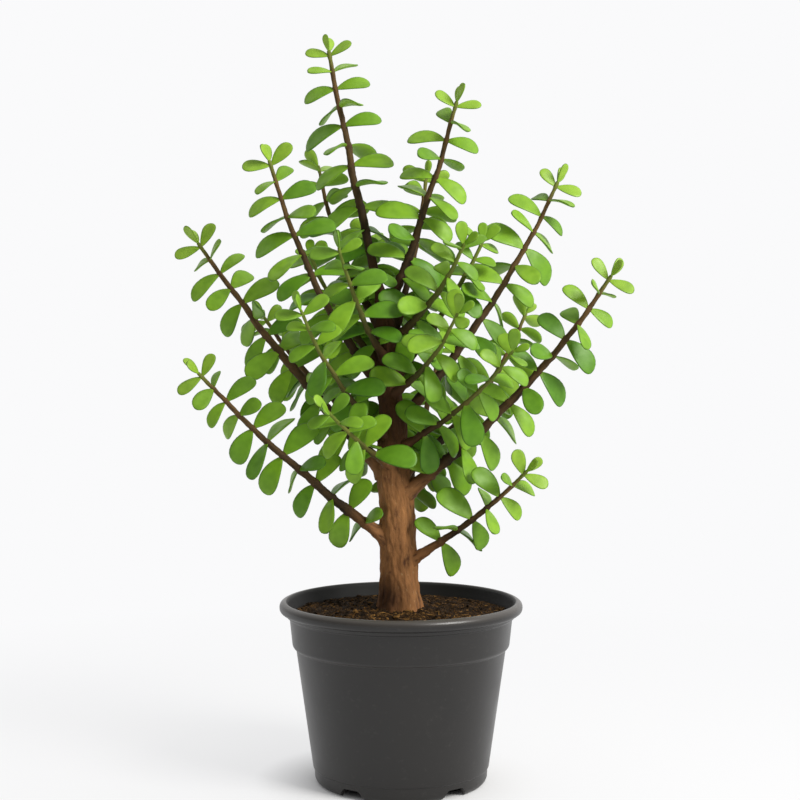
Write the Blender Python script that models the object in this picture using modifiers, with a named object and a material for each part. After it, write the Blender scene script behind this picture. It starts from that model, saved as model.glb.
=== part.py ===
"""Potted jade plant: nursery pot, soil, woody trunk and leafy branches.

Units are metres in the scene and millimetres in the design tables.
+Z is up, the front faces -Y, and the pot stands on z = 0.
"""

import math
from collections import namedtuple

import bmesh
import bpy
from mathutils import Vector
from mathutils.bvhtree import BVHTree

MM = 0.001
NAME = "potted_jade_plant"

# ---------------------------------------------------------------- dimensions
GAP = 0.3                  # clearance between pieces that touch
POT_STEPS = 40             # facets round the pot
SOIL_STEPS = 28
SOIL_UNEVEN = 1.3          # height of the lumps in the soil's surface
EDGE_UNEVEN = 0.3          # of that, at the pot wall
NOTCH_COUNT = 5            # arch notches in the foot skirt
NOTCH_WIDTH = 14.0         # at the foot
NOTCH_RISE = 5.6
NOTCH_TURN = -52.2         # azimuth of the first notch, degrees
NOTCH_REACH = (54.0, 64.0) # radii between which the skirt is cut
DRAIN_COUNT = 5
DRAIN_RADIUS = 4.5
DRAIN_CIRCLE = 45.0
DRAIN_DEPTH = 12.0
DRAIN_SIDES = 10
WELD = 0.000001            # metres, between corners that are one corner

# Radius and height round the pot wall, from the inner lip over the rim,
# down the outside, under the base and back up the inside.
POT_PROFILE = [
    (76.5, 121.3), (77.2, 123.0), (78.8, 123.5), (80.9, 122.9),
    (82.3, 121.0), (82.4, 118.2), (81.2, 116.0), (78.6, 115.2),
    (76.4, 115.0), (75.7, 113.6), (73.8, 93.2), (73.4, 92.4),
    (71.3, 91.4), (60.0, 10.6), (59.0, 9.8), (58.8, 7.5),
    (57.9, 2.0), (56.9, 0.0), (55.5, 0.0), (55.2, 5.0),
    (36.2, 5.0), (34.6, 0.0), (0.0, 0.0),
]
POT_INSIDE = [
    (0.0, 1.6), (33.6, 1.6), (35.2, 6.6), (57.5, 6.6),
    (58.5, 11.0), (69.8, 91.6), (72.3, 94.2), (74.3, 114.4),
    (75.6, 117.8),
]

# Soil outline below the surface and the rings of the mounded surface.
SOIL_SIDE = [
    (33.1, 1.9), (34.9, 6.9), (57.1, 6.9), (58.1, 11.0),
    (69.4, 91.8), (71.9, 94.6), (73.7, 113.2),
]
SOIL_RINGS = [(73.2, 114.2), (62.0, 113.8), (49.0, 114.6), (35.0, 115.4), (22.0, 116.6)]
SOIL_TOP = 117.6

# Trunk: height, x, y and radius up the centre line.
TRUNK = [
    (62.0, 0.0, 0.0, 3.0), (86.0, 0.5, 1.0, 8.0), (102.0, 0.0, 0.5, 13.5),
    (114.0, 0.0, 0.0, 15.4), (124.0, -0.5, 0.0, 14.0), (149.0, -1.4, 0.0, 12.0),
    (180.0, -2.2, 1.0, 11.8), (206.0, -5.4, 1.5, 10.6), (236.0, -5.4, 1.0, 8.9),
    (268.0, -7.6, 0.0, 7.4), (307.0, -10.2, 0.0, 6.6), (332.0, -12.4, 1.0, 6.3),
]
# Roots: azimuth, reach and depth of the tip below the crown.
ROOTS = [
    (-62.0, 34.0, 26.0), (18.0, 38.0, 30.0), (95.0, 32.0, 34.0),
    (160.0, 36.0, 24.0), (238.0, 30.0, 36.0),
]

CROWN = 103.0              # height at which the roots leave the trunk
ROOT_START = 4.0           # out from the trunk's heart
ROOT_RADII = (7.0, 4.6, 1.6)
ROOT_BEND = (0.55, 4.0)    # of the reach, and how far below the crown

# Branches: name, foot height on the trunk, bend point, tip, radius at the
# foot, radius at the tip, bare length at the foot, turn of the first pair.
Branch = namedtuple("Branch", "name foot bend tip foot_radius tip_radius bare turn")
BRANCHES = [Branch(*row) for row in (
    ("leader", 330, (-34, 4, 412), (-49, 8, 496), 5.0, 1.3, 8, 0),
    ("upper_right", 313, (19, -10, 391), (37, -20, 458), 3.6, 1.2, 16, 0),
    ("upper_left", 259, (-62, -11, 326), (-87, -24, 419), 3.6, 1.2, 30, 0),
    ("right_high", 240, (67, 11, 316), (108, 22, 409), 3.9, 1.2, 26, 0),
    ("right", 191, (88, -17, 260), (138, -34, 343), 4.6, 1.3, 24, 0),
    ("left_high", 205, (-80, 10, 281), (-140, 20, 367), 5.2, 1.2, 26, 0),
    ("left_low", 159, (-78, -15, 215), (-134, -30, 279), 4.2, 1.2, 24, 0),
    ("inner_right", 295, (29, -25, 329), (41, -45, 363), 3.2, 1.1, 16, 90),
    ("right_low", 146, (50, -19, 176), (83, -38, 215), 3.4, 1.1, 22, 0),
    ("front_low", 214, (-22, -46, 226), (-46, -82, 256), 2.7, 0.9, 24, 0),
    ("front_mid", 262, (20, -46, 280), (36, -76, 318), 2.7, 0.9, 22, 90),
    ("front_left", 230, (-46, -44, 268), (-64, -64, 320), 2.7, 0.9, 24, 0),
    ("front_right", 224, (48, -40, 256), (72, -62, 294), 2.7, 0.9, 26, 90),
    ("front_high", 284, (-30, -42, 316), (-40, -56, 360), 2.7, 0.9, 18, 0),
    ("mid_left", 278, (-46, 6, 314), (-62, 10, 358), 3.0, 1.1, 16, 90),
    ("mid_right", 270, (34, 8, 320), (56, 6, 368), 3.0, 1.1, 16, 90),
    ("back_low", 178, (14, 76, 228), (30, 118, 294), 4.2, 1.2, 24, 0),
    ("back_right", 204, (66, 58, 252), (92, 92, 320), 3.9, 1.2, 24, 90),
    ("back_left", 230, (-66, 56, 264), (-100, 88, 316), 3.8, 1.2, 24, 0),
    ("back_mid", 252, (-16, 58, 306), (-24, 92, 378), 3.6, 1.2, 20, 90),
    ("back_high", 292, (10, 42, 346), (18, 58, 416), 3.2, 1.2, 16, 0),
    ("back_upper_left", 302, (-46, 32, 354), (-58, 44, 422), 3.0, 1.1, 16, 90),
)]

PAIR_STEP = 14.0           # distance between leaf pairs along a stem
TIP_STEPS = (3.2, 11.0, 12.0, 12.5, 13.0, 13.5)      # closer pairs near the tip
TIP_SIZES = (0.52, 0.68, 0.68, 0.84, 0.90, 0.98)  # smaller leaves near the tip
TIP_LEANS = (20, 66, 68, 78, 82, 86)              # lean from the stem, degrees
TIP_REACH = 12.0           # leaves this close to the tip are flat and straight
PAIR_OBLIQUE = 45          # turn of a pair that would point at the viewer
LEAF_LENGTH = 26.0         # full-grown leaf
LEAF_WIDTH = 0.57          # of the length
LEAF_THICK = 2.6
LEAF_RINGS = ((0.24, 0.68), (0.62, 1.0), (0.91, 0.70))  # place and width along a leaf
LEAF_HEART = 0.56          # place of the greatest thickness
LEAF_ROOM = 0.4            # clearance tested round a new leaf
LEAF_SKIN = 0.1            # clearance kept round a placed leaf
LEAF_SPINS = (0.0, 0.35, -0.35, 0.7, -0.7, 0.2)    # turns tried in order
LEAF_TRIMS = (1.0, 1.0, 0.95, 0.85, 0.8, 0.65)     # and the length with each
STEM_POINTS = 6
FOOT_FLARE = 2.2           # extra stem radius where it leaves the trunk
LEADER_SINK = 6.0          # depth of the leader's foot in the trunk
BACK_SIDE = 40             # branches whose tip lies beyond face backwards
LAYER = 40.0               # leaves are placed in layers from the tips inwards

POT_LOOK = ((0.045, 0.046, 0.048), 0.5)            # colour and roughness
SOIL_LOOK = ((0.05, 0.03, 0.018), 0.95)
BARK_LOOK = ((0.23, 0.12, 0.07), 0.85)
LEAF_LOOK = ((0.16, 0.36, 0.08), 0.45)


# ------------------------------------------------------------------- helpers
def vary(a, b=0.0):
    """A repeatable number from 0 to 1 for a pair of indices."""
    x = math.sin(a * 12.9898 + b * 78.233) * 43758.5453
    return x - math.floor(x)


def clear_scene():
    for ob in list(bpy.data.objects):
        bpy.data.objects.remove(ob, do_unlink=True)


def new_collection(name):
    col = bpy.data.collections.new(name)
    bpy.context.scene.collection.children.link(col)
    return col


def material(name, look):
    rgb, rough = look
    mat = bpy.data.materials.new(name)
    mat.use_nodes = True
    shader = mat.node_tree.nodes["Principled BSDF"]
    shader.inputs["Base Color"].default_value = (*rgb, 1.0)
    shader.inputs["Roughness"].default_value = rough
    return mat


def mesh_object(name, verts, faces, col):
    mesh = bpy.data.meshes.new(name)
    mesh.from_pydata([tuple(v) for v in verts], [], faces)
    mesh.update()
    ob = bpy.data.objects.new(name, mesh)
    col.objects.link(ob)
    return ob


def helper(ob):
    ob.hide_render = True
    ob.display_type = "WIRE"
    return ob


def face_outwards(ob):
    bm = bmesh.new()
    bm.from_mesh(ob.data)
    bmesh.ops.remove_doubles(bm, verts=bm.verts, dist=WELD)
    bmesh.ops.recalc_face_normals(bm, faces=bm.faces)
    bm.to_mesh(ob.data)
    bm.free()
    return ob


def boolean(ob, other, operation):
    mod = ob.modifiers.new(operation.lower(), "BOOLEAN")
    mod.operation = operation
    mod.solver = "EXACT"
    if isinstance(other, bpy.types.Collection):
        mod.operand_type = "COLLECTION"
        mod.collection = other
    else:
        mod.object = other
    return mod


def settled_mesh(ob):
    """A plain mesh of an object with its modifiers applied."""
    graph = bpy.context.evaluated_depsgraph_get()
    graph.update()
    return bpy.data.meshes.new_from_object(ob.evaluated_get(graph))


# ----------------------------------------------------------------- pot, soil
def spun(name, profile, steps, col):
    """A closed body of revolution about Z from a profile in millimetres."""
    verts = [(r * MM, 0.0, z * MM) for r, z in profile]
    edges = [(i, i + 1) for i in range(len(verts) - 1)]
    mesh = bpy.data.meshes.new(name)
    mesh.from_pydata(verts, edges, [])
    ob = bpy.data.objects.new(name, mesh)
    col.objects.link(ob)
    mod = ob.modifiers.new("spin", "SCREW")
    mod.axis = "Z"
    mod.angle = math.tau
    mod.steps = steps
    mod.render_steps = steps
    mod.use_merge_vertices = True
    mod.merge_threshold = 0.00005
    mod.use_smooth_shade = True
    return ob


def arch_cutter(index, helpers):
    """A notch through the foot skirt with sloping sides and a flat crown."""
    half = NOTCH_WIDTH / 2
    outline = [(-half, -1.0), (half, -1.0), (half * 0.85, NOTCH_RISE * 0.55), (half * 0.6, NOTCH_RISE * 0.95),
               (0.0, NOTCH_RISE), (-half * 0.6, NOTCH_RISE * 0.95), (-half * 0.85, NOTCH_RISE * 0.55)]
    turn = math.radians(NOTCH_TURN + 360.0 * index / NOTCH_COUNT)
    out = Vector((math.cos(turn), math.sin(turn), 0))
    side = Vector((-math.sin(turn), math.cos(turn), 0))
    verts = []
    for reach in NOTCH_REACH:
        verts += [(out * reach + side * x + Vector((0, 0, z))) * MM for x, z in outline]
    n = len(outline)
    faces = [tuple(range(n)), tuple(range(2 * n - 1, n - 1, -1))]
    faces += [(i, (i + 1) % n, n + (i + 1) % n, n + i) for i in range(n)]
    return helper(face_outwards(mesh_object(f"notch_{index}", verts, faces, helpers)))


def drain_cutter(index, helpers):
    """A round drain hole through the raised ring of the floor."""
    turn = math.radians(NOTCH_TURN + 360.0 * (index + 0.5) / DRAIN_COUNT)
    middle = Vector((DRAIN_CIRCLE * math.cos(turn), DRAIN_CIRCLE * math.sin(turn), DRAIN_DEPTH / 2)) * MM
    bpy.ops.mesh.primitive_cylinder_add(
        vertices=DRAIN_SIDES, radius=DRAIN_RADIUS * MM, depth=DRAIN_DEPTH * MM, location=middle)
    ob = bpy.context.active_object
    ob.name = f"drain_{index}"
    for col in list(ob.users_collection):
        col.objects.unlink(ob)
    helpers.objects.link(ob)
    return helper(ob)


def make_pot(col, helpers):
    pot = spun("pot", POT_PROFILE + POT_INSIDE + POT_PROFILE[:1], POT_STEPS, col)
    cuts = bpy.data.collections.new("pot_cuts")
    helpers.children.link(cuts)
    for i in range(NOTCH_COUNT):
        arch_cutter(i, cuts)
    for i in range(DRAIN_COUNT):
        drain_cutter(i, cuts)
    boolean(pot, cuts, "DIFFERENCE")
    return pot


def make_soil(col):
    """Soil mass: a lathe with an uneven mounded surface."""
    rings = [(r, z, 0.0) for r, z in SOIL_SIDE]
    rings += [(r, z, 1.0) for r, z in SOIL_RINGS]
    rings[len(SOIL_SIDE)] = (*SOIL_RINGS[0], EDGE_UNEVEN)
    verts = [Vector((0, 0, SOIL_SIDE[0][1] * MM))]
    for k, (r, z, rough) in enumerate(rings):
        for i in range(SOIL_STEPS):
            turn = math.tau * i / SOIL_STEPS
            lift = rough * SOIL_UNEVEN * (vary(i + 1, k) - 0.5)
            verts.append(Vector((r * math.cos(turn), r * math.sin(turn), z + lift)) * MM)
    verts.append(Vector((0, 0, SOIL_TOP * MM)))
    n = SOIL_STEPS
    faces = [(0, 1 + (i + 1) % n, 1 + i) for i in range(n)]
    for k in range(len(rings) - 1):
        a = 1 + k * n
        b = a + n
        faces += [(a + i, a + (i + 1) % n, b + (i + 1) % n, b + i) for i in range(n)]
    top = len(verts) - 1
    last = top - n
    faces += [(last + i, last + (i + 1) % n, top) for i in range(n)]
    return mesh_object("soil", verts, faces, col)


# ------------------------------------------------------------ wood and stems
def trunk_at(height):
    """Centre of the trunk at a height, in millimetres."""
    for (z0, x0, y0, _), (z1, x1, y1, _) in zip(TRUNK, TRUNK[1:]):
        if height <= z1:
            break
    t = min(max((height - z0) / (z1 - z0), 0.0), 1.0)
    return Vector((x0 + (x1 - x0) * t, y0 + (y1 - y0) * t, height))


def tube(name, points, radii, col, sides_level):
    """A tapered capped tube through points, returned as a plain mesh."""
    curve = bpy.data.curves.new(name, "CURVE")
    curve.dimensions = "3D"
    curve.bevel_depth = MM
    curve.bevel_resolution = sides_level
    curve.use_fill_caps = True
    curve.render_resolution_u = 0
    spline = curve.splines.new("POLY")
    spline.points.add(len(points) - 1)
    for point, where, radius in zip(spline.points, points, radii):
        point.co = (*(where * MM), 1.0)
        point.radius = radius
    source = bpy.data.objects.new(name + "_line", curve)
    bpy.context.scene.collection.objects.link(source)
    mesh = settled_mesh(source)
    bpy.data.objects.remove(source, do_unlink=True)
    ob = bpy.data.objects.new(name, mesh)
    col.objects.link(ob)
    return face_outwards(ob)


def make_wood(name, extra, col, helpers):
    """Trunk with its roots, all radii grown by the extra clearance."""
    points = [Vector((x, y, z)) for z, x, y, r in TRUNK]
    radii = [r + extra for z, x, y, r in TRUNK]
    points[0] = points[0] - Vector((0, 0, extra))
    points[-1] = points[-1] + Vector((0, 0, extra))
    wood = tube(name, points, radii, col, 3)
    if extra:
        helper(wood)
    roots = bpy.data.collections.new(name + "_roots")
    helpers.children.link(roots)
    for i, (turn, reach, depth) in enumerate(ROOTS):
        out = Vector((math.cos(math.radians(turn)), math.sin(math.radians(turn)), 0))
        start = Vector((0, 0, CROWN)) + out * ROOT_START
        bend = start + out * reach * ROOT_BEND[0] - Vector((0, 0, ROOT_BEND[1]))
        tip = start + out * (reach + extra) - Vector((0, 0, depth))
        ob = tube(f"{name}_root_{i}", [start, bend, tip], [r + extra for r in ROOT_RADII], roots, 1)
        helper(ob)
        boolean(wood, ob, "UNION")
    return wood


def stem_line(row):
    """Points and radii of a branch stem, from the trunk's heart to the tip."""
    start = trunk_at(row.foot)
    if row.name == "leader":
        start = start - Vector((0, 0, LEADER_SINK))
    bend = Vector(row.bend)
    tip = Vector(row.tip)
    points = []
    radii = []
    for i in range(STEM_POINTS + 1):
        t = i / STEM_POINTS
        points.append(start * (1 - t) ** 2 + bend * 2 * t * (1 - t) + tip * t * t)
        radii.append(stem_radius(row, t))
    if row.name != "leader":
        radii[0] += FOOT_FLARE
    return points, radii


def stem_radius(row, t):
    return row.foot_radius + (row.tip_radius - row.foot_radius) * t ** 0.8


def along(points, distance):
    """Place, direction and fraction at a distance along a line of points."""
    total = sum((b - a).length for a, b in zip(points, points[1:]))
    left = min(distance, total)
    for a, b in zip(points, points[1:]):
        step = (b - a).length
        if left <= step or b is points[-1]:
            return a + (b - a) * (left / step), (b - a).normalized(), min(distance / total, 1.0)
        left -= step


# -------------------------------------------------------------------- leaves
def leaf_points(leaf, swell=0.0):
    """Corner points of a leaf: a bent spoon-shaped lens."""
    base, out, side, face, length, width, thick, curl, sag = leaf
    down = Vector((0, 0, -1))
    down = down - out * down.dot(out)

    def spine(u):
        return base + (out * u - face * (curl * u * u) + down * (sag * u * u)) * length

    def slope(u):
        return (out - face * (2 * curl * u) + down * (2 * sag * u)).normalized()

    first = spine(0.0) - out * swell
    points = [first]
    for u, w in LEAF_RINGS:
        across = side * (width * 0.5 * w + swell)
        points += [spine(u) - across, spine(u) + across]
    points.append(spine(1.0) + slope(1.0) * swell)
    lift = slope(LEAF_HEART).cross(side).normalized() * (thick * 0.5 + swell)
    if lift.dot(face) < 0:
        lift = -lift
    points += [spine(LEAF_HEART) + lift, spine(LEAF_HEART) - lift]
    return points


def leaf_faces():
    ring = [0, 2, 4, 6, 7, 5, 3, 1]
    faces = []
    for a, b in zip(ring, ring[1:] + ring[:1]):
        faces.append((a, b, 8))
        faces.append((b, a, 9))
    return faces


def leaf_frame(out, tangent, toward, twist):
    """Side and face vectors: the face looks up the stem, then to the light."""
    up_stem = (tangent - out * tangent.dot(out)).normalized()
    light = (toward - out * toward.dot(out)).normalized()
    face = (up_stem * (1 - twist) + light * twist).normalized()
    face = (face - out * face.dot(out)).normalized()
    return out.cross(face).normalized(), face


def pair_places(number, row, total):
    """Distances from the foot to each leaf pair, from the tip down."""
    places = []
    place = total - 1.0
    while place > row.bare:
        pair = len(places)
        places.append(place)
        if pair < len(TIP_STEPS):
            place -= TIP_STEPS[pair]
        else:
            place -= PAIR_STEP * (0.95 + 0.15 * vary(number, pair + 7))
    return places


def leaf_plan(number, row):
    """Wished leaves of a branch, two opposite ones at each pair."""
    points, _ = stem_line(row)
    total = sum((b - a).length for a, b in zip(points, points[1:]))
    view = Vector((0, -1, 0)) if row.tip[1] < BACK_SIDE else Vector((0, 1, 0))
    toward = view * 0.8 + Vector((0, 0, 0.55))
    plan = []
    for pair, place in enumerate(pair_places(number, row, total)):
        here, tangent, t = along(points, place)
        level = min(pair, len(TIP_STEPS) - 1)
        across = view.cross(tangent).normalized()
        ahead = tangent.cross(across).normalized()
        turn = 90 * (pair + 1) + row.turn
        if pair and turn % 180:
            turn += PAIR_OBLIQUE * (-1) ** (pair // 2 + number)
        angle = math.radians(turn + 26 * (vary(number, pair) - 0.5))
        for half in (0, 1):
            a = angle + math.pi * half
            normal = across * math.cos(a) + ahead * math.sin(a)
            seed = number * 31 + pair * 2 + half
            tilt = math.radians(TIP_LEANS[level] + 14 * max(0.0, -normal.z) + 20 * (vary(seed, 1) - 0.5))
            out = (tangent * math.cos(tilt) + normal * math.sin(tilt)).normalized()
            length = LEAF_LENGTH * TIP_SIZES[level] * (0.84 + 0.30 * vary(seed, 2))
            facing = abs(normal.dot(view))
            twist = 0.85 - 0.35 * facing + 0.15 * vary(seed, 3) if pair else 1.0
            aside = Vector((0.9 * facing if vary(seed, 8) > 0.5 else -0.9 * facing, 0, 0))
            light = (toward + aside).normalized()
            base = here + normal * stem_radius(row, t) * 0.35
            plan.append((base, out, tangent, light, length, twist, seed, total - place))
    return plan


def make_leaf(wish, attempt):
    """One leaf from a wish; later attempts turn and shorten it."""
    base, out, tangent, toward, length, twist, seed, from_tip = wish
    spin = LEAF_SPINS[attempt]
    out = (out + tangent * spin * 0.5 + tangent.cross(out) * spin).normalized()
    length = length * LEAF_TRIMS[attempt]
    side, face = leaf_frame(out, tangent, toward, twist)
    width = length * (LEAF_WIDTH + 0.06 * (vary(seed, 4) - 0.5))
    thick = LEAF_THICK * (0.6 + 0.4 * length / LEAF_LENGTH)
    if from_tip < TIP_REACH:
        return base, out, side, face, length, width, thick, 0.05, 0.0
    curl = 0.10 + 0.12 * vary(seed, 5)
    sag = 0.08 + 0.14 * vary(seed, 6)
    return base, out, side, face, length, width, thick, curl, sag


def tree_of(verts, faces):
    return BVHTree.FromPolygons([tuple(v) for v in verts], faces)


def tree_of_mesh(mesh):
    verts = [v.co / MM for v in mesh.vertices]
    return tree_of(verts, [tuple(p.vertices) for p in mesh.polygons])


def box_of(verts):
    low = [min(v[i] for v in verts) for i in range(3)]
    high = [max(v[i] for v in verts) for i in range(3)]
    return low, high


def apart(a, b):
    return any(a[1][i] < b[0][i] or b[1][i] < a[0][i] for i in range(3))


def place_leaves(solids, stems):
    """Choose leaves that clear the pot, the wood and one another."""
    faces = leaf_faces()
    taken = []
    kept = {row.name: [] for row in BRANCHES}
    wishes = []
    for number, row in enumerate(BRANCHES):
        wishes += [(wish[7] // LAYER, number, k, wish) for k, wish in enumerate(leaf_plan(number, row))]
    wishes.sort(key=lambda w: w[:3])
    for _, number, _, wish in wishes:
        name = BRANCHES[number].name
        for attempt in range(len(LEAF_SPINS)):
            leaf = make_leaf(wish, attempt)
            fat = leaf_points(leaf, LEAF_ROOM)
            box = box_of(fat)
            tree = tree_of(fat, faces)
            hit = any(not apart(box, b) and tree.overlap(t) for b, t in solids)
            hit = hit or any(n != name and not apart(box, b) and tree.overlap(t) for n, b, t in stems)
            hit = hit or any(not apart(box, b) and tree.overlap(t) for b, t in taken)
            if not hit:
                slim = leaf_points(leaf, LEAF_SKIN)
                taken.append((box_of(slim), tree_of(slim, faces)))
                kept[name].append(leaf)
                break
    return kept


# ------------------------------------------------------------------ assembly
def solid_of(ob):
    """Bounds and search tree of an object's finished shape."""
    mesh = settled_mesh(ob)
    return box_of([v.co / MM for v in mesh.vertices]), tree_of_mesh(mesh)


def make_branches(col, helpers, solids):
    """Stems cut clear of the trunk, each joined to its own leaves."""
    trunk_cut = make_wood("trunk_room", GAP, helpers, helpers)
    trunk_cut.data = settled_mesh(trunk_cut)
    trunk_cut.modifiers.clear()
    branches = {}
    stems = []
    for row in BRANCHES:
        points, radii = stem_line(row)
        branches[row.name] = tube(row.name, points, radii, col, 1)
        boolean(branches[row.name], trunk_cut, "DIFFERENCE")
        stems.append((row.name, *solid_of(branches[row.name])))
    for i, (name, box, tree) in enumerate(stems):
        for other, other_box, other_tree in stems[i + 1:]:
            if not apart(box, other_box) and tree.overlap(other_tree):
                raise ValueError(f"stems {name} and {other} cross")
    for name, leaves in place_leaves(solids, stems).items():
        verts = []
        faces = []
        for leaf in leaves:
            start = len(verts)
            verts += [v * MM for v in leaf_points(leaf)]
            faces += [tuple(start + j for j in face) for face in leaf_faces()]
        blades = helper(face_outwards(mesh_object(name + "_leaves", verts, faces, helpers)))
        boolean(branches[name], blades, "UNION")
        branches[name].data.materials.clear()
        branches[name].data.materials.append(material(name, LEAF_LOOK))


def main():
    clear_scene()
    col = new_collection(NAME)
    helpers = new_collection("helpers")
    helpers.hide_render = True
    pot = make_pot(col, helpers)
    soil = make_soil(col)
    socket = make_wood("root_room", GAP, helpers, helpers)
    boolean(soil, socket, "DIFFERENCE")
    trunk = make_wood("trunk", 0.0, col, helpers)
    pot.data.materials.append(material("pot", POT_LOOK))
    soil.data.materials.append(material("soil", SOIL_LOOK))
    trunk.data.materials.append(material("bark", BARK_LOOK))
    make_branches(col, helpers, [solid_of(ob) for ob in (pot, soil, trunk)])
    for ob in col.objects:
        for poly in ob.data.polygons:
            poly.use_smooth = True


main()
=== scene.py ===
import math

import bmesh
import bpy
import numpy as np
from bpy.props import FloatProperty, FloatVectorProperty, IntProperty, PointerProperty
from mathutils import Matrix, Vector
from mathutils.kdtree import KDTree


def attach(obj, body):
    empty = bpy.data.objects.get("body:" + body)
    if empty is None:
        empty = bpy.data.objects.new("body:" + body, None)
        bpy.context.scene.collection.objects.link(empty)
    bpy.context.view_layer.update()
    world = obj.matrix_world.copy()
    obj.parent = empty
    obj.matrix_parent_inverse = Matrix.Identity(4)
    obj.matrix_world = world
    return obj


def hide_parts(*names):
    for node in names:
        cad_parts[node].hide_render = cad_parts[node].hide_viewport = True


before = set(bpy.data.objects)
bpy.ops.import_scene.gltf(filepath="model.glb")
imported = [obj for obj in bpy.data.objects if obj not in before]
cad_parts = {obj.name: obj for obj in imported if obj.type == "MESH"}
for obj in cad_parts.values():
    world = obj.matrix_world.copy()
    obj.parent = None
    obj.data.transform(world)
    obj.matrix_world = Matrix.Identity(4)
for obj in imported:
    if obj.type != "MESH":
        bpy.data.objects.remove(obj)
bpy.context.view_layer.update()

bl_info = {
    "name": "Potted jade plant",
    "version": (1, 0, 0),
    "blender": (4, 5, 0),
    "location": "View3D > Sidebar > Jade plant",
    "description": "Builds the finished surfaces of a jade plant in its nursery pot around the packed frame",
    "category": "Object",
}

MM = 0.001

# ------------------------------------------------------- design, millimetres
# The trunk, branches and leaf rules are those of the CAD model. The trunk's
# rows are height, x, y and radius. A root's are its turn in degrees, how far
# it reaches and how deep. A branch's are the height where it starts, the point
# that bends it, its tip, its radius at the foot and at the tip, the bare
# length before its first leaves, and the turn of its pairs in degrees.
TRUNK = [
    (62.0, 0.0, 0.0, 3.0), (86.0, 0.5, 1.0, 8.0), (102.0, 0.0, 0.5, 13.5),
    (114.0, 0.0, 0.0, 15.4), (124.0, -0.5, 0.0, 14.0), (149.0, -1.4, 0.0, 12.0),
    (180.0, -2.2, 1.0, 11.8), (206.0, -5.4, 1.5, 10.6), (236.0, -5.4, 1.0, 8.9),
    (268.0, -7.6, 0.0, 7.4), (307.0, -10.2, 0.0, 6.6), (332.0, -12.4, 1.0, 6.3),
]
CROWN = 103.0
ROOTS = [(-62.0, 34.0, 26.0), (18.0, 38.0, 30.0), (95.0, 32.0, 34.0), (160.0, 36.0, 24.0), (238.0, 30.0, 36.0)]
BRANCHES = [
    ("leader", 330, (-34, 4, 412), (-49, 8, 496), 5.0, 1.3, 8, 0),
    ("upper_right", 313, (19, -10, 391), (37, -20, 458), 3.6, 1.2, 16, 0),
    ("upper_left", 259, (-62, -11, 326), (-87, -24, 419), 3.6, 1.2, 30, 0),
    ("right_high", 240, (67, 11, 316), (108, 22, 409), 3.9, 1.2, 26, 0),
    ("right", 191, (88, -17, 260), (138, -34, 343), 4.6, 1.3, 24, 0),
    ("left_high", 205, (-80, 10, 281), (-140, 20, 367), 5.2, 1.2, 26, 0),
    ("left_low", 159, (-78, -15, 215), (-134, -30, 279), 4.2, 1.2, 24, 0),
    ("inner_right", 295, (29, -25, 329), (41, -45, 363), 3.2, 1.1, 16, 90),
    ("right_low", 146, (50, -19, 176), (83, -38, 215), 3.4, 1.1, 22, 0),
    ("front_low", 214, (-22, -46, 226), (-46, -82, 256), 2.7, 0.9, 24, 0),
    ("front_mid", 262, (20, -46, 280), (36, -76, 318), 2.7, 0.9, 22, 90),
    ("front_left", 230, (-46, -44, 268), (-64, -64, 320), 2.7, 0.9, 24, 0),
    ("front_right", 224, (48, -40, 256), (72, -62, 294), 2.7, 0.9, 26, 90),
    ("front_high", 284, (-30, -42, 316), (-40, -56, 360), 2.7, 0.9, 18, 0),
    ("mid_left", 278, (-46, 6, 314), (-62, 10, 358), 3.0, 1.1, 16, 90),
    ("mid_right", 270, (34, 8, 320), (56, 6, 368), 3.0, 1.1, 16, 90),
    ("back_low", 178, (14, 76, 228), (30, 118, 294), 4.2, 1.2, 24, 0),
    ("back_right", 204, (66, 58, 252), (92, 92, 320), 3.9, 1.2, 24, 90),
    ("back_left", 230, (-66, 56, 264), (-100, 88, 316), 3.8, 1.2, 24, 0),
    ("back_mid", 252, (-16, 58, 306), (-24, 92, 378), 3.6, 1.2, 20, 90),
    ("back_high", 292, (10, 42, 346), (18, 58, 416), 3.2, 1.2, 16, 0),
    ("back_upper_left", 302, (-46, 32, 354), (-58, 44, 422), 3.0, 1.1, 16, 90),
]
# Shaded branches, whose tips are less fresh.
INNER = (
    "front_low", "front_mid", "front_left", "front_right", "front_high",
    "mid_left", "mid_right", "inner_right",
)
# Leaf pairs grow from the tip down: the steps between them, the size of their
# leaves against a grown one, and the degrees that they lean from the stem.
PAIR_STEP = 14.0
TIP_STEPS = (3.2, 11.0, 12.0, 12.5, 13.0, 13.5)
TIP_SIZES = (0.52, 0.68, 0.68, 0.84, 0.90, 0.98)
TIP_LEANS = (20, 66, 68, 78, 82, 86)
TIP_REACH = 12.0           # leaves this near the tip stay straight
PAIR_OBLIQUE = 45          # degrees that every other pair is turned further
# Forms that a crowded leaf may take: swung about its foot, and shortened.
LEAF_SPINS = (0.0, 0.35, -0.35, 0.7, -0.7, 0.2)
LEAF_TRIMS = (1.0, 1.0, 0.95, 0.85, 0.8, 0.65)
LEAF_LENGTH = 26.0
LEAF_WIDTH = 0.57          # of its length
LEAF_THICK = 2.6
LEAF_FOUND = 0.15          # a leaf is in the frame where a corner lies this near its tip
LEAF_TONE, LEAF_FRESH = 20, 21    # columns of a leaf's row
STEM_POINTS = 6
STEM_WANDER = 0.34

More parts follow.
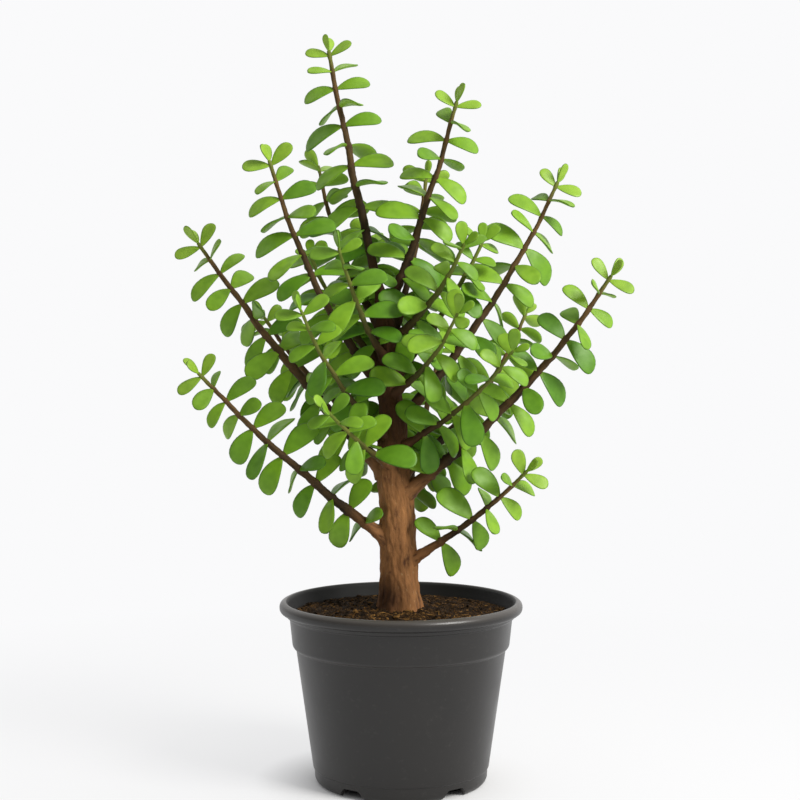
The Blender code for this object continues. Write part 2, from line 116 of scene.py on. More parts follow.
# Corners of the pot's section: radius, height and how far each is rounded.
POT_SECTION = [
    (76.9, 121.6, 0.5), (78.6, 123.6, 1.4), (82.6, 122.0, 2.6), (82.6, 116.4, 2.4),
    (79.2, 115.3, 0.8), (78.3, 114.9, 0.5), (77.6, 112.9, 0.8), (75.8, 112.3, 1.0),
    (73.7, 92.4, 2.0), (71.4, 91.2, 0.9), (60.0, 10.4, 0.4), (59.1, 9.6, 0.4),
    (58.7, 2.2, 2.0), (56.4, 0.0, 0.9), (55.4, 0.0, 0.4), (55.1, 5.0, 1.0),
    (36.3, 5.0, 1.0), (34.8, 0.0, 0.8), (0.02, 0.0, 0.0), (0.02, 1.6, 0.0),
    (33.5, 1.6, 1.0), (35.1, 6.6, 1.2), (57.5, 6.6, 1.5), (58.6, 11.0, 1.0),
    (69.8, 91.6, 1.0), (72.3, 94.2, 1.2), (74.3, 113.4, 1.0), (75.9, 118.0, 1.0),
]
SKIRT_RADIUS = 57.0
SKIRT_BAND = (55.0, 59.6)  # radii between which the foot skirt is lifted
SKIRT_TOP = 9.0
NOTCH_COUNT = 5
NOTCH_WIDTH = 18.5
NOTCH_RISE = 6.0
NOTCH_SLOPE = 4.6
NOTCH_TURN = -52.2         # degrees, the middle of one notch
DRAIN_RADIUS = 4.5
DRAIN_CIRCLE = 45.0
# Heights between which a painted highlight makes the plastic paler, on the lip and at the step.
LIP_HIGHLIGHT = (118.8, 122.6)
STEP_HIGHLIGHT = (88.0, 96.0)

# Soil surface: radius and height, from the heart to the wall, and the places of
# its pale clods.
SOIL_MOUND = [
    (0.0, 118.6), (16.0, 118.3), (24.0, 117.0), (35.0, 115.7), (49.0, 114.7), (62.0, 114.0), (73.6, 114.4),
]
SOIL_PALE = [(-18.0, -26.0), (38.0, -20.0), (12.0, -22.0), (-2.0, -20.0)]
SOIL_SIDE = [
    (73.6, 113.0), (71.8, 94.6), (69.3, 91.8), (58.0, 11.0), (57.0, 6.9), (34.9, 6.9), (33.1, 1.9), (0.5, 1.9),
]
SOIL_EDGE = 74.0           # the pot's wall at the soil
LOOSE_RING = (18.0, 71.5)  # where loose lumps lie
PALE_SPREAD = 11.0

# Bark: the painted shadow at the left of the root crown, how far it spreads from
# full to none, and the heights between which the painted shade of the crown sets in.
ROOT_SHADOW_POINT = (-10.0, -13.0, 126.0)
ROOT_SHADOW_SPREAD = (5.0, 19.0)
CROWN_SHADE_HEIGHTS = (190.0, 238.0)
# Swellings of the trunk, each with a height, a half width and a half height:
# a buttress over each root, and old scars at random heights and depths.
BUTTRESS_DEPTH = 3.2
BUTTRESS_FORM = (108.0, 6.5, 15.0)
SCAR_COUNT = 46
SCAR_HEIGHTS = (118.0, 320.0)
SCAR_DEPTHS = (-0.45, 0.6)
SCAR_FORM = (3.0, 1.1)
FLOOR_SIDES = 96


# ------------------------------------------------------------ small helpers
def vary(a, b=0.0):
    """A repeatable number from 0 to 1: the broken part of a large sine."""
    x = math.sin(a * 12.9898 + b * 78.233) * 43758.5453
    return x - math.floor(x)


def unit(v):
    """Vectors of length one along the last axis."""
    return v / np.linalg.norm(v, axis=-1, keepdims=True)


def waves(points, size, seed, count=22):
    """Smooth noise about zero: a sum of sine waves of random direction,
    phase and a wavelength near the size, scaled to unit spread."""
    rng = np.random.default_rng(seed)
    heading = unit(rng.normal(size=(count, 3)))
    number = 2 * np.pi / size * rng.uniform(0.6, 1.7, count)
    phase = rng.uniform(0, 2 * np.pi, count)
    return np.sin(points @ (heading * number[:, None]).T + phase).sum(-1) / math.sqrt(count / 2)


def linear(code):
    """sRGB hex to linear light."""
    c = np.array([int(code[i:i + 2], 16) for i in (0, 2, 4)]) / 255
    light = np.where(c <= 0.04045, c / 12.92, ((c + 0.055) / 1.055) ** 2.4)
    return tuple(float(x) for x in light)


def shade(value, strength=1.0):
    """A four-channel socket value: a colour, made stronger or weaker."""
    return (*(channel * strength for channel in value[:3]), 1.0)


def sheets(name, blocks, sides=None, ends=(True, True)):
    """One mesh from K tubes, each a grid of rings by places round the ring.

    Blocks are K x rings x round x 3 in millimetres. Each ring joins the next
    with quads and closes on itself. The end rings are capped by one face."""
    k, n, m, _ = blocks.shape
    index = np.arange(k * n * m).reshape(k, n, m)
    right = np.roll(index, -1, axis=2)
    quads = np.stack([index[:, :-1], right[:, :-1], right[:, 1:], index[:, 1:]], -1).reshape(-1, 4)
    faces = quads.tolist()
    if ends[0]:
        faces += index[:, 0, ::-1].tolist()
    if ends[1]:
        faces += index[:, -1].tolist()
    mesh = bpy.data.meshes.new(name)
    mesh.from_pydata((blocks.reshape(-1, 3) * MM).tolist(), [], faces)
    mesh.polygons.foreach_set("use_smooth", np.ones(len(mesh.polygons), bool))
    mesh.update()
    ob = bpy.data.objects.new(name, mesh)
    bpy.context.scene.collection.objects.link(ob)
    return ob


def mark(ob, name, values):
    """Keep a number or a vector at each vertex for the material to read."""
    values = np.asarray(values, np.float32)
    vector = values.ndim > 1 and values.shape[-1] == 3
    made = ob.data.attributes.new(name, "FLOAT_VECTOR" if vector else "FLOAT", "POINT")
    made.data.foreach_set("vector" if vector else "value", values.reshape(-1))


def place_piece(ob, material, slot, *nodes):
    """Give a piece its material and its body, and hide the nodes it covers.
    The slot is not used.
    """
    ob.data.materials.append(material)
    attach(ob, "root")
    if nodes:
        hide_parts(*nodes)
    return ob


# ----------------------------------------------------------------- materials
# Inputs are named, or numbered where a node repeats a name. A Map Range takes
# a value at 0 from the range of 1 and 2 to that of 3 and 4, or to 0 and 1. A
# Mix blends the colours at 6 and 7 by the factor at 0. Maths nodes use 0 and 1.
BLACK, WHITE = (0.0, 0.0, 0.0), (1.0, 1.0, 1.0)
COLOURS = {"out": 2, "data_type": "RGBA"}    # how a Mix node blends colours


def add(tree, kind, inputs=None, out=0, stops=(), **settings):
    """Add a node with its settings and colour stops, set or link its inputs
    and give one of its outputs, or the node itself where it has none."""
    made = tree.nodes.new(kind)
    for key, value in settings.items():
        setattr(made, key, value)
    for number, (place, tone) in enumerate(stops):
        row = made.color_ramp.elements
        stop = row[number] if number < 2 else row.new(place)
        stop.position = place
        stop.color = shade(tone)
    for key, value in (inputs or {}).items():
        if isinstance(value, bpy.types.NodeSocket):
            tree.links.new(value, made.inputs[key])
        else:
            made.inputs[key].default_value = value
    return made.outputs[out] if len(made.outputs) else made


def blank(name):
    """A material with an empty tree, and the tree."""
    made = bpy.data.materials.new(name)
    made.use_nodes = True
    made.node_tree.nodes.clear()
    return made, made.node_tree


def grit(where, size, detail=3.0, rough=0.55):
    """Inputs of a noise whose lumps are about size millimetres wide on
    coordinates in metres."""
    return {"Vector": where, "Scale": 1 / (size * MM), "Detail": detail, "Roughness": rough}


def pot_material(s):
    """Injection-moulded polypropylene, charcoal: an even satin skin with a
    mould grain, drawn coarser than the real one so that it shows, and faint
    dust. A painted highlight makes it paler on the lip and the step below the
    collar; inside, where the skin faces the pot's axis, it is duller and
    darkened by painted shade."""
    made, tree = blank("moulded_polypropylene")
    where = add(tree, "ShaderNodeTexCoord", out="Object")
    height = add(tree, "ShaderNodeSeparateXYZ", {0: where}, "Z")
    broad = add(tree, "ShaderNodeTexNoise", grit(where, 38, 2.0))
    film = add(tree, "ShaderNodeTexNoise", grit(where, 5.0, 5.0, 0.7))
    grain = add(tree, "ShaderNodeTexNoise", grit(where, 0.7, 2.0, 0.6))

    cloud = add(tree, "ShaderNodeMapRange", {0: broad, 1: 0.35, 2: 0.68})
    body = add(tree, "ShaderNodeMix", {0: cloud, 6: shade(s.plastic), 7: shade(s.plastic, 1.22)}, **COLOURS)
    dust = add(tree, "ShaderNodeMapRange", {0: film, 1: 0.58, 2: 0.82, 4: 0.22})
    dusty = add(tree, "ShaderNodeMix", {0: dust, 6: body, 7: shade(s.dust)}, **COLOURS)

    # Painted highlight: the lip, and more faintly the step below the collar, are mixed towards a plastic seven
    # and a half times as bright.
    lip = add(tree, "ShaderNodeMapRange", {0: height, 1: LIP_HIGHLIGHT[0] * MM, 2: LIP_HIGHLIGHT[1] * MM, 4: 0.9})
    band = add(tree, "ShaderNodeMapRange", {0: height, 1: STEP_HIGHLIGHT[0] * MM, 2: STEP_HIGHLIGHT[1] * MM})
    step = add(tree, "ShaderNodeValToRGB", {0: band}, stops=[(0.34, BLACK), (0.46, WHITE), (0.62, BLACK)])
    faint = add(tree, "ShaderNodeMath", {0: step, 1: 0.3}, operation="MULTIPLY")
    highlight_mask = add(tree, "ShaderNodeMath", {0: lip, 1: faint}, operation="MAXIMUM")
    outside = add(tree, "ShaderNodeMix", {0: highlight_mask, 6: dusty, 7: shade(s.plastic, 7.5)}, **COLOURS)

    # Painted shade: where the skin faces the pot's axis, the inner wall is darkened to a third of the
    # plastic's tone; it is also made duller.
    level = add(tree, "ShaderNodeVectorMath", {0: where, 1: (1.0, 1.0, 0.0)}, operation="MULTIPLY")
    outwards = add(tree, "ShaderNodeVectorMath", {0: level}, operation="NORMALIZE")
    normal = add(tree, "ShaderNodeNewGeometry", out="Normal")
    facing = add(tree, "ShaderNodeVectorMath", {0: outwards, 1: normal}, "Value", operation="DOT_PRODUCT")
    inside = add(tree, "ShaderNodeMapRange", {0: facing, 1: -0.3, 2: -0.8})
    tone = add(tree, "ShaderNodeMix", {0: inside, 6: outside, 7: shade(s.plastic, 0.3)}, **COLOURS)

    smooth, coarse = s.roughness - 0.05, s.roughness + 0.06
    satin = add(tree, "ShaderNodeMapRange", {0: broad, 1: 0.3, 2: 0.7, 3: smooth, 4: coarse})
    dull = add(tree, "ShaderNodeMapRange", {0: inside, 4: 0.3})
    rough = add(tree, "ShaderNodeMath", {0: satin, 1: dull}, operation="ADD")
    relief = add(tree, "ShaderNodeBump", {"Height": grain, "Strength": 0.5, "Distance": 0.05 * MM})
    shader = add(tree, "ShaderNodeBsdfPrincipled",
                 {"Base Color": tone, "Roughness": rough, "IOR": 1.49, "Normal": relief})
    add(tree, "ShaderNodeOutputMaterial", {"Surface": shader})
    return made


def soil_material(s):
    """Peat potting soil: near-black fibrous ground with brown and rusty
    specks, quite matt."""
    made, tree = blank("peat_soil")
    where = add(tree, "ShaderNodeTexCoord", out="Object")
    fine = add(tree, "ShaderNodeTexNoise", grit(where, 1.6, 6.0, 0.7))
    broad = add(tree, "ShaderNodeTexNoise", grit(where, 9.0))
    drift = add(tree, "ShaderNodeMapRange", {0: broad, 1: 0.3, 2: 0.7, 3: -0.12, 4: 0.12})
    mixed = add(tree, "ShaderNodeMath", {0: fine, 1: drift}, operation="ADD")
    tone = add(tree, "ShaderNodeValToRGB", {0: mixed},
               stops=[(0.32, shade(s.soil, 0.35)), (0.5, s.soil), (0.62, s.rust), (0.75, s.chip)])
    relief = add(tree, "ShaderNodeBump", {"Height": fine, "Strength": 0.9, "Distance": 1.2 * MM})
    shader = add(tree, "ShaderNodeBsdfPrincipled",
                 {"Base Color": tone, "Roughness": 0.93, "Specular IOR Level": 0.15, "Normal": relief})
    add(tree, "ShaderNodeOutputMaterial", {"Surface": shader})
    return made


def crumb_material(s):
    """Crumbs of peat, bark and clay: each has its own tone, from black-brown
    through rust to tan."""
    made, tree = blank("soil_crumbs")
    where = add(tree, "ShaderNodeTexCoord", out="Object")
    own = add(tree, "ShaderNodeAttribute", out="Fac", attribute_name="tone")
    rough = add(tree, "ShaderNodeTexNoise", grit(where, 0.9, 4.0, 0.7))
    each = add(tree, "ShaderNodeValToRGB", {0: own},
               stops=[(0.0, shade(s.soil, 0.5)), (0.55, shade(s.soil, 1.3)), (0.8, s.rust), (0.93, s.chip),
                      (1.0, shade(s.chip, 1.5))])
    worn = add(tree, "ShaderNodeMapRange", {0: rough, 1: 0.3, 2: 0.7, 4: 0.55})
    tone = add(tree, "ShaderNodeMix", {0: worn, 6: each, 7: shade(s.soil, 0.6)}, **COLOURS)
    relief = add(tree, "ShaderNodeBump", {"Height": rough, "Strength": 0.8, "Distance": 0.6 * MM})
    shader = add(tree, "ShaderNodeBsdfPrincipled",
                 {"Base Color": tone, "Roughness": 0.9, "Specular IOR Level": 0.15, "Normal": relief})
    add(tree, "ShaderNodeOutputMaterial", {"Surface": shader})
    return made


def bark_material(s, name, young):
    """Jade bark: brown and corky with long streaks up the stem and pale
    flakes, with a painted shadow at the left of the root crown and painted
    shade that makes it almost black in the heart of the crown. Young stems are
    smooth and dark, lighter towards the tip and green at the last growth."""
    made, tree = blank(name)
    where = add(tree, "ShaderNodeTexCoord", out="Object")
    height = add(tree, "ShaderNodeSeparateXYZ", {0: where}, "Z")
    grain = add(tree, "ShaderNodeAttribute", out="Vector", attribute_name="grain")
    streaky = add(tree, "ShaderNodeMapping", {"Vector": grain, "Scale": (1.0, 1.0, 0.27)})
    flaky = add(tree, "ShaderNodeMapping", {"Vector": grain, "Scale": (1.0, 1.0, 0.4)})
    streak = add(tree, "ShaderNodeTexNoise", grit(streaky, 2.4, 5.0, 0.62))
    fine = add(tree, "ShaderNodeTexNoise", grit(streaky, 0.8, 4.0, 0.65))
    patch = add(tree, "ShaderNodeTexNoise", grit(flaky, 10.0, 4.0, 0.6))
    speck = add(tree, "ShaderNodeTexNoise", grit(flaky, 1.7, 2.0))

    drift = add(tree, "ShaderNodeMapRange", {0: patch, 1: 0.28, 2: 0.72, 3: -0.2, 4: 0.2})
    level = add(tree, "ShaderNodeMath", {0: streak, 1: drift}, operation="ADD")
    middle = [0.7 * a + 0.3 * b for a, b in zip(s.bark, s.bark_dark)]
    cork = add(tree, "ShaderNodeValToRGB", {0: level},
               stops=[(0.24, s.bark_dark), (0.42, middle), (0.62, s.bark), (0.84, shade(s.bark, 1.3))])
    flake = add(tree, "ShaderNodeMapRange", {0: speck, 1: 0.66, 2: 0.75, 4: 0.6})
    cork = add(tree, "ShaderNodeMix", {0: flake, 6: cork, 7: shade(s.flake)}, **COLOURS)
    # Painted shadow: towards a point at the left of the root crown the bark darkens to a dim copy of the dark
    # streaks.
    centre = tuple(value * MM for value in ROOT_SHADOW_POINT)
    away = add(tree, "ShaderNodeVectorMath", {0: where, 1: centre}, "Value", operation="DISTANCE")
    full, none = (value * MM for value in ROOT_SHADOW_SPREAD)
    root_shadow = add(tree, "ShaderNodeMapRange", {0: away, 1: full, 2: none, 3: 0.85, 4: 0.0})
    cork = add(tree, "ShaderNodeMix", {0: root_shadow, 6: cork, 7: shade(s.bark_dark, 0.6)}, **COLOURS)
    # Painted shade: above these heights, where the crown closes over the trunk, the bark is mixed towards a
    # dim copy of the dark streaks.
    low, high = (value * MM for value in CROWN_SHADE_HEIGHTS)
    crown_shade = add(tree, "ShaderNodeMapRange", {0: height, 1: low, 2: high, 4: 0.86})
    tone = add(tree, "ShaderNodeMix", {0: crown_shade, 6: cork, 7: shade(s.bark_dark, 0.55)}, **COLOURS)

    if young:
        wood = add(tree, "ShaderNodeAttribute", out="Fac", attribute_name="wood")
        reach = add(tree, "ShaderNodeAttribute", out="Fac", attribute_name="reach")
        tip = add(tree, "ShaderNodeAttribute", out="Fac", attribute_name="tip")
        aged = add(tree, "ShaderNodeMapRange", {0: reach, 1: 0.3, 2: 0.85})
        stem = add(tree, "ShaderNodeMix", {0: aged, 6: shade(s.stem_old), 7: shade(s.stem)}, **COLOURS)
        worn = add(tree, "ShaderNodeMapRange", {0: level, 1: 0.3, 2: 0.65})
        worn = add(tree, "ShaderNodeMix", {0: worn, 6: shade(WHITE, 0.5), 7: shade(WHITE, 1.25)}, **COLOURS)
        stem = add(tree, "ShaderNodeMix", {0: 1.0, 6: stem, 7: worn}, blend_type="MULTIPLY", **COLOURS)
        tone = add(tree, "ShaderNodeMix", {0: wood, 6: stem, 7: tone}, **COLOURS)
        tone = add(tree, "ShaderNodeMix", {0: tip, 6: tone, 7: shade(s.shoot)}, **COLOURS)

    smooth, coarse, crack, pore = (0.62, 0.82, 0.5, 0.25) if young else (0.78, 0.92, 0.8, 0.5)
    rough = add(tree, "ShaderNodeMapRange", {0: streak, 1: 0.3, 2: 0.7, 3: smooth, 4: coarse})
    cracks = add(tree, "ShaderNodeBump", {"Height": streak, "Strength": 0.8, "Distance": crack * MM})
    relief = add(tree, "ShaderNodeBump",
                 {"Height": fine, "Strength": 0.7, "Distance": pore * MM, "Normal": cracks})
    shader = add(tree, "ShaderNodeBsdfPrincipled",
                 {"Base Color": tone, "Roughness": rough, "Specular IOR Level": 0.22, "Normal": relief})
    add(tree, "ShaderNodeOutputMaterial", {"Surface": shader})
    return made


def leaf_material(s):
    """Fleshy jade leaf: a waxy skin over pale flesh. New leaves are yellow
    green, old ones deeper, the margin is a thin darker line and the underside
    is paler."""
    made, tree = blank("waxy_jade_leaf")
    where = add(tree, "ShaderNodeTexCoord", out="Object")
    blade = add(tree, "ShaderNodeAttribute", out="Vector", attribute_name="blade")
    across, length, under = add(tree, "ShaderNodeSeparateXYZ", {0: blade}).node.outputs
    age = add(tree, "ShaderNodeAttribute", out="Fac", attribute_name="tone")
    new = add(tree, "ShaderNodeAttribute", out="Fac", attribute_name="young")
    mottle = add(tree, "ShaderNodeTexNoise", grit(where, 6.0, 1.0, 0.5))

    grown = add(tree, "ShaderNodeValToRGB", {0: age},
                stops=[(0.0, s.leaf_deep), (0.5, s.leaf), (1.0, s.leaf_bright)])
    skin = add(tree, "ShaderNodeMix", {0: new, 6: grown, 7: shade(s.leaf_new)}, **COLOURS)
    spot = add(tree, "ShaderNodeMapRange", {0: mottle, 1: 0.35, 2: 0.68})
    cloud = add(tree, "ShaderNodeMix", {0: spot, 6: shade(WHITE), 7: shade((0.8, 0.84, 0.74))}, **COLOURS)
    skin = add(tree, "ShaderNodeMix", {0: 1.0, 6: skin, 7: cloud}, blend_type="MULTIPLY", **COLOURS)
    stalk = add(tree, "ShaderNodeMapRange", {0: length, 1: 0.0, 2: 0.16, 3: 0.55, 4: 0.0})
    skin = add(tree, "ShaderNodeMix", {0: stalk, 6: skin, 7: shade(s.leaf_new)}, **COLOURS)
    belly = add(tree, "ShaderNodeMapRange", {0: under, 2: 0.9, 4: 0.32})
    skin = add(tree, "ShaderNodeMix", {0: belly, 6: skin, 7: shade(s.leaf_under)}, **COLOURS)
    side = add(tree, "ShaderNodeMapRange", {0: across, 1: 0.86, 2: 0.99, 4: 0.7})
    end = add(tree, "ShaderNodeMapRange", {0: length, 1: 0.955, 2: 0.995, 4: 0.7})
    margin = add(tree, "ShaderNodeMath", {0: side, 1: end}, operation="MAXIMUM")
    skin = add(tree, "ShaderNodeMix", {0: margin, 6: skin, 7: shade(s.leaf_edge)}, **COLOURS)

    wax = {0: mottle, 1: 0.3, 2: 0.7, 3: s.gloss_rough - 0.05, 4: s.gloss_rough + 0.09}
    rough = add(tree, "ShaderNodeMapRange", wax)
    relief = add(tree, "ShaderNodeBump", {"Height": mottle, "Strength": 0.35, "Distance": 0.25 * MM})
    shader = add(tree, "ShaderNodeBsdfPrincipled",
                 {"Base Color": skin, "Roughness": rough, "IOR": 1.42, "Specular IOR Level": 0.36,
                  "Normal": relief})
    add(tree, "ShaderNodeOutputMaterial", {"Surface": shader})
    return made


def floor_material(s):
    """Matt white paper that fades into the even light of the room."""
    made, tree = blank("white_paper")
    where = add(tree, "ShaderNodeTexCoord", out="Object")
    away = add(tree, "ShaderNodeVectorMath", {0: where}, "Value", operation="LENGTH")
    far = add(tree, "ShaderNodeValToRGB", {0: away},
              stops=[(0.05, BLACK), (0.1, shade(WHITE, 0.69)), (0.7, WHITE)])
    paper = add(tree, "ShaderNodeBsdfPrincipled",
                {"Base Color": shade(s.floor), "Roughness": 0.9, "Specular IOR Level": 0.0})
    glow = add(tree, "ShaderNodeEmission", {"Color": shade(s.room), "Strength": 1.0})
    both = add(tree, "ShaderNodeMixShader", {0: far, 1: paper, 2: glow})
    add(tree, "ShaderNodeOutputMaterial", {"Surface": both})
    return made


# ------------------------------------------------------------------- surfaces
def rounded_section(corners, steps=6):
    """A closed outline with each corner eased: the piece of line before and
    after a corner, as long as its rounding, is bent as a quadratic curve."""
    table = np.array(corners)
    here, cut = table[:, :2], table[:, 2:]
    before, after = np.roll(here, 1, 0), np.roll(here, -1, 0)
    start = here + unit(before - here) * cut
    end = here + unit(after - here) * cut
    t = np.linspace(0, 1, steps)[None, :, None]
    arcs = (1 - t) ** 2 * start[:, None] + 2 * t * (1 - t) * here[:, None] + t * t * end[:, None]
    return arcs.reshape(-1, 2)


def pot_surface(s):
    """The pot's outline spun about Z, with the foot skirt lifted into an arch
    at each notch: its points are raised to the arch's height at least."""
    outline = rounded_section(POT_SECTION)
    turn = np.linspace(0, 2 * np.pi, s.around, endpoint=False)
    r, z = outline[:, 0][:, None], outline[:, 1][:, None]
    x, y = r * np.cos(turn), r * np.sin(turn)
    pitch = 2 * np.pi / NOTCH_COUNT
    off = (turn - math.radians(NOTCH_TURN) + pitch / 2) % pitch - pitch / 2
    ease = np.clip((NOTCH_WIDTH / 2 - np.abs(off) * SKIRT_RADIUS) / NOTCH_SLOPE, 0, 1)
    arch = NOTCH_RISE * (1 - (1 - ease) ** 2)
    skirt = (r > SKIRT_BAND[0]) & (r < SKIRT_BAND[1]) & (z < SKIRT_TOP)
    high = np.where(skirt, np.maximum(z, arch), z)
    rings = np.stack([x, y, high * np.ones_like(x)], -1)
    rings = np.concatenate([rings, rings[:1]], 0)
    return rings[::-1]


def cut_drains(ob):
    """Round drain holes through the raised ring of the floor, one between
    each two notches."""
    cutters = []
    for i in range(NOTCH_COUNT):
        turn = math.radians(NOTCH_TURN + 180.0 / NOTCH_COUNT + 360.0 * i / NOTCH_COUNT)
        angle = np.linspace(0, 2 * np.pi, 28, endpoint=False)
        ring = np.stack([DRAIN_CIRCLE * math.cos(turn) + DRAIN_RADIUS * np.cos(angle),
                         DRAIN_CIRCLE * math.sin(turn) + DRAIN_RADIUS * np.sin(angle),
                         np.zeros_like(angle)], -1)
        cutter = sheets(f"drain_{i}", np.stack([ring + [0, 0, 2.5], ring + [0, 0, 9.5]])[None])
        mod = ob.modifiers.new(cutter.name, "BOOLEAN")
        mod.operation = "DIFFERENCE"
        mod.solver = "EXACT"
        mod.object = cutter
        cutters.append(cutter)
    graph = bpy.context.evaluated_depsgraph_get()
    done = bpy.data.meshes.new_from_object(ob.evaluated_get(graph))
    ob.modifiers.clear()
    ob.data = done
    ob.data.set_sharp_from_angle(angle=math.radians(38))
    for cutter in cutters:
        bpy.data.objects.remove(cutter, do_unlink=True)


def soil_height(x, y):
    """Mound height by distance from the heart, with clods and crumbs as
    waves of about 14, 6 and 3 millimetres."""
    r = np.hypot(x, y)
    table = np.array(SOIL_MOUND)
    base = np.interp(r, table[:, 0], table[:, 1])
    flat = np.stack([x, y, np.zeros_like(x)], -1)
    lumps = 0.55 * waves(flat, 14, 3) + 0.38 * waves(flat, 6, 4) + 0.26 * waves(flat, 3, 5)
    calm = np.clip((75.5 - r) / 6, 0.35, 1)
    return base + np.clip(lumps * calm, -1.6, 1.5)


def soil_surface(rings, around):
    """Soil as rings from the heart over the mound and down the wall."""
    turn = np.linspace(0, 2 * np.pi, around, endpoint=False)
    r = np.concatenate([[0.3], np.linspace(3, SOIL_MOUND[-1][0], rings)])[:, None]
    x, y = r * np.cos(turn), r * np.sin(turn)
    top = np.stack([x, y, soil_height(x, y)], -1)
    side = np.array(SOIL_SIDE)
    out, up = side[:, :1], side[:, 1:]
    wall = np.stack([out * np.cos(turn), out * np.sin(turn), up * np.ones_like(turn)], -1)
    return np.concatenate([top, wall], 0)[::-1]


def lump_shape():
    """An icosahedron: twelve corners and twenty faces."""
    g = (1 + 5 ** 0.5) / 2
    a = np.array([(-1, g, 0), (1, g, 0), (-1, -g, 0), (1, -g, 0), (0, -1, g), (0, 1, g),
                  (0, -1, -g), (0, 1, -g), (g, 0, -1), (g, 0, 1), (-g, 0, -1), (-g, 0, 1)], float)
    faces = np.array([(0, 11, 5), (0, 5, 1), (0, 1, 7), (0, 7, 10), (0, 10, 11), (1, 5, 9), (5, 11, 4),
                      (11, 10, 2), (10, 7, 6), (7, 1, 8), (3, 9, 4), (3, 4, 2), (3, 2, 6), (3, 6, 8),
                      (3, 8, 9), (4, 9, 5), (2, 4, 11), (6, 2, 10), (8, 6, 7), (9, 8, 1)])
    return unit(a), faces


def crumb_cloud(name, count, sizes, flat, slim, tones, seed):
    """Loose lumps on the soil: icosahedra with uneven corners, made flat and
    slim, turned at random and half sunk in the surface. Their own tones run
    between two tones, and are paler near the pale clods."""
    rng = np.random.default_rng(seed)
    corners, faces = lump_shape()
    r = np.sqrt(rng.uniform(LOOSE_RING[0] ** 2, LOOSE_RING[1] ** 2, count))
    turn = rng.uniform(0, 2 * np.pi, count)
    x, y = r * np.cos(turn), r * np.sin(turn)
    size = sizes[0] * (sizes[1] / sizes[0]) ** rng.beta(1.1, 3.0, count)
    size = np.minimum(size, SOIL_EDGE - r)
    shape = corners[None] * rng.uniform(0.7, 1.2, (count, 12, 1)) * size[:, None, None]
    wide = rng.uniform(slim * 0.55, slim, count)
    deep = flat + rng.uniform(0, 0.37 * slim, count)
    shape = shape * np.stack([np.ones(count), wide, deep], -1)[:, None]
    spin = rng.uniform(0, 2 * np.pi, (count, 2))
    tilt = (spin[:, 1] - np.pi) * 0.16
    c, s = np.cos(spin[:, :1]), np.sin(spin[:, :1])
    px, py, pz = shape[..., 0], shape[..., 1], shape[..., 2]
    qx = px * c - py * s
    qy = px * s + py * c
    ct, st = np.cos(tilt)[:, None], np.sin(tilt)[:, None]
    turned = np.stack([qx, qy * ct - pz * st, qy * st + pz * ct], -1)
    base = np.stack([x, y, soil_height(x, y) + size * 0.12], -1)
    verts = (turned + base[:, None]).reshape(-1, 3)
    index = (faces[None] + 12 * np.arange(count)[:, None, None]).reshape(-1, 3)
    mesh = bpy.data.meshes.new(name)
    mesh.from_pydata((verts * MM).tolist(), [], index.tolist())
    mesh.update()
    ob = bpy.data.objects.new(name, mesh)
    bpy.context.scene.collection.objects.link(ob)
    pale = sum(np.exp(-((x - a) ** 2 + (y - b) ** 2) / PALE_SPREAD ** 2) for a, b in SOIL_PALE)
    tone = rng.uniform(tones[0], tones[1], count) ** 1.3 + 0.5 * pale
    mark(ob, "tone", np.repeat(np.clip(tone, 0, 1), 12))
    return ob


# ------------------------------------------------------------ wood and stems
def trunk_at(height):
    """Centre line and radius of the trunk at a height."""
    for (z0, x0, y0, r0), (z1, x1, y1, r1) in zip(TRUNK, TRUNK[1:]):
        if height <= z1:
            break
    t = min(max((height - z0) / (z1 - z0), 0.0), 1.0)
    return Vector((x0 + (x1 - x0) * t, y0 + (y1 - y0) * t, height)), r0 + (r1 - r0) * t


def eased(heights, column):
    """A trunk column read at heights, smoothed by a running mean."""
    table = np.array(TRUNK)
    wide = np.linspace(-7, 7, 15)
    return np.interp(heights[:, None] + wide, table[:, 0], table[:, column]).mean(1)


def bump_at(angle, height, turn, level, wide, tall, radius):
    """A swelling on the trunk: a bell of the arc and height away from it."""
    arc = (angle - turn + np.pi) % (2 * np.pi) - np.pi
    return np.exp(-((arc * radius) / wide) ** 2 - ((height - level) / tall) ** 2)


